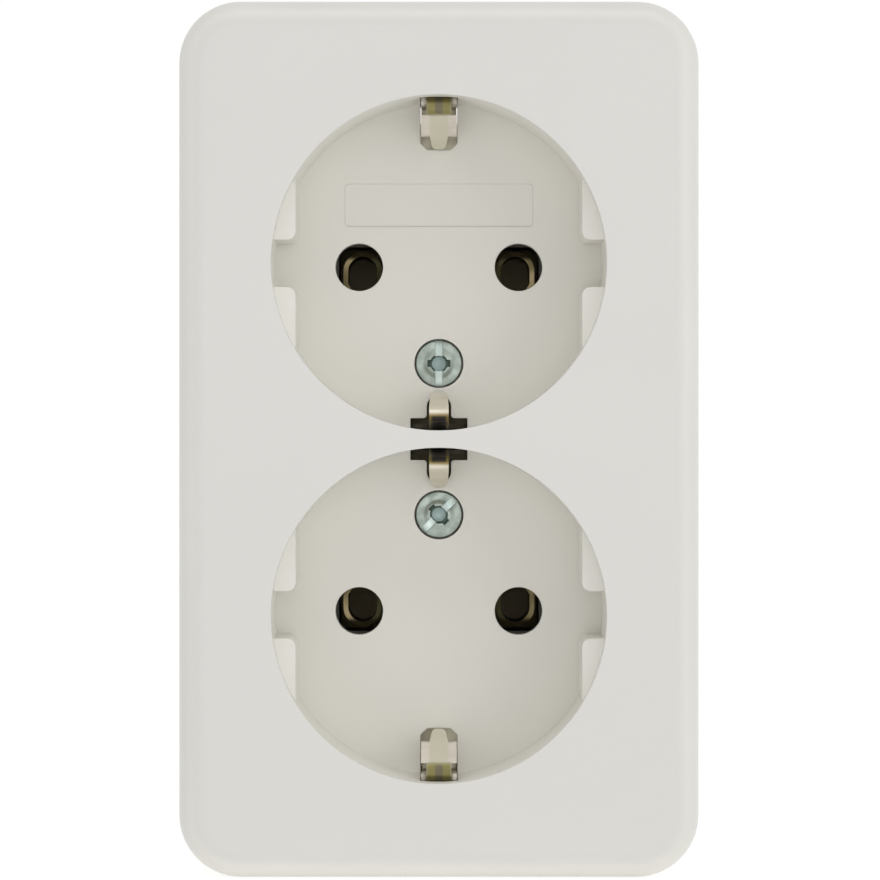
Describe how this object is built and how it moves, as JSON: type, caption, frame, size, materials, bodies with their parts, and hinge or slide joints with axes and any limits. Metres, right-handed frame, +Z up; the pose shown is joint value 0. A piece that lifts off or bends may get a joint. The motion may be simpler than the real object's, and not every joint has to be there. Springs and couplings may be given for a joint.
{
  "type": "surface double socket",
  "caption": "Upright surface-mounted double mains socket with two round wells, side earth contacts, brass pin rails and screw terminals behind a one-piece cover.",
  "frame": {"origin": "centre of the back face, in the wall's plane", "axes": "+X to the right seen from the front, +Y into the wall, +Z up; the wells face -Y"},
  "size_m": [0.0606, 0.041, 0.102],
  "materials": {
    "cover_white": "off-white moulded thermoplastic, fine satin grain",
    "base_white": "off-white moulded thermoplastic, matt",
    "carrier_dark": "dark thermoset moulding",
    "brass": "drawn brass strip",
    "nickel_brass": "nickel-plated brass spring strip",
    "zinc_steel": "bright zinc-plated steel"
  },
  "bodies": {
    "housing": {"front_cover": "cover_white", "rear_base": "base_white", "contact_carrier": "carrier_dark", "line_rail": "brass", "neutral_rail": "brass", "earth_strap": "nickel_brass", "earth_centre_clip": "nickel_brass", "earth_rivet": "brass", "cover_screw_upper": "zinc_steel", "cover_screw_lower": "zinc_steel", "cover_nut_upper": "zinc_steel", "cover_nut_lower": "zinc_steel", "carrier_screw_upper": "zinc_steel", "carrier_screw_lower": "zinc_steel"},
    "line_screw": {"line_screw": "zinc_steel"},
    "line_clamp": {"line_clamp": "zinc_steel"},
    "neutral_screw": {"neutral_screw": "zinc_steel"},
    "neutral_clamp": {"neutral_clamp": "zinc_steel"},
    "earth_screw": {"earth_screw": "zinc_steel"},
    "earth_clamp": {"earth_clamp": "zinc_steel"}
  },
  "joints": [
    {"name": "line_screw_turn", "type": "hinge", "parent": "housing", "child": "line_screw", "pos_m": [0.02098, -0.018, 0], "axis": [0, 1, 0], "range_deg": [0, 1800]},
    {"name": "line_clamp_rise", "type": "slide", "parent": "housing", "child": "line_clamp", "axis": [0, -1, 0], "range_m": [0, 0.003]},
    {"name": "neutral_screw_turn", "type": "hinge", "parent": "housing", "child": "neutral_screw", "pos_m": [-0.02098, -0.018, 0], "axis": [0, 1, 0], "range_deg": [0, 1800]},
    {"name": "neutral_clamp_rise", "type": "slide", "parent": "housing", "child": "neutral_clamp", "axis": [0, -1, 0], "range_m": [0, 0.003]},
    {"name": "earth_screw_turn", "type": "hinge", "parent": "housing", "child": "earth_screw", "pos_m": [-0.0125, -0.018, -0.0339], "axis": [0, 1, 0], "range_deg": [0, 1800]},
    {"name": "earth_clamp_rise", "type": "slide", "parent": "housing", "child": "earth_clamp", "axis": [0, -1, 0], "range_m": [0, 0.003]}
  ],
  "couplings": [
    {"joint": "line_screw_turn", "follows": "line_clamp_rise", "rad_per_m": 10472},
    {"joint": "neutral_screw_turn", "follows": "neutral_clamp_rise", "rad_per_m": 10472},
    {"joint": "earth_screw_turn", "follows": "earth_clamp_rise", "rad_per_m": 10472}
  ]
}
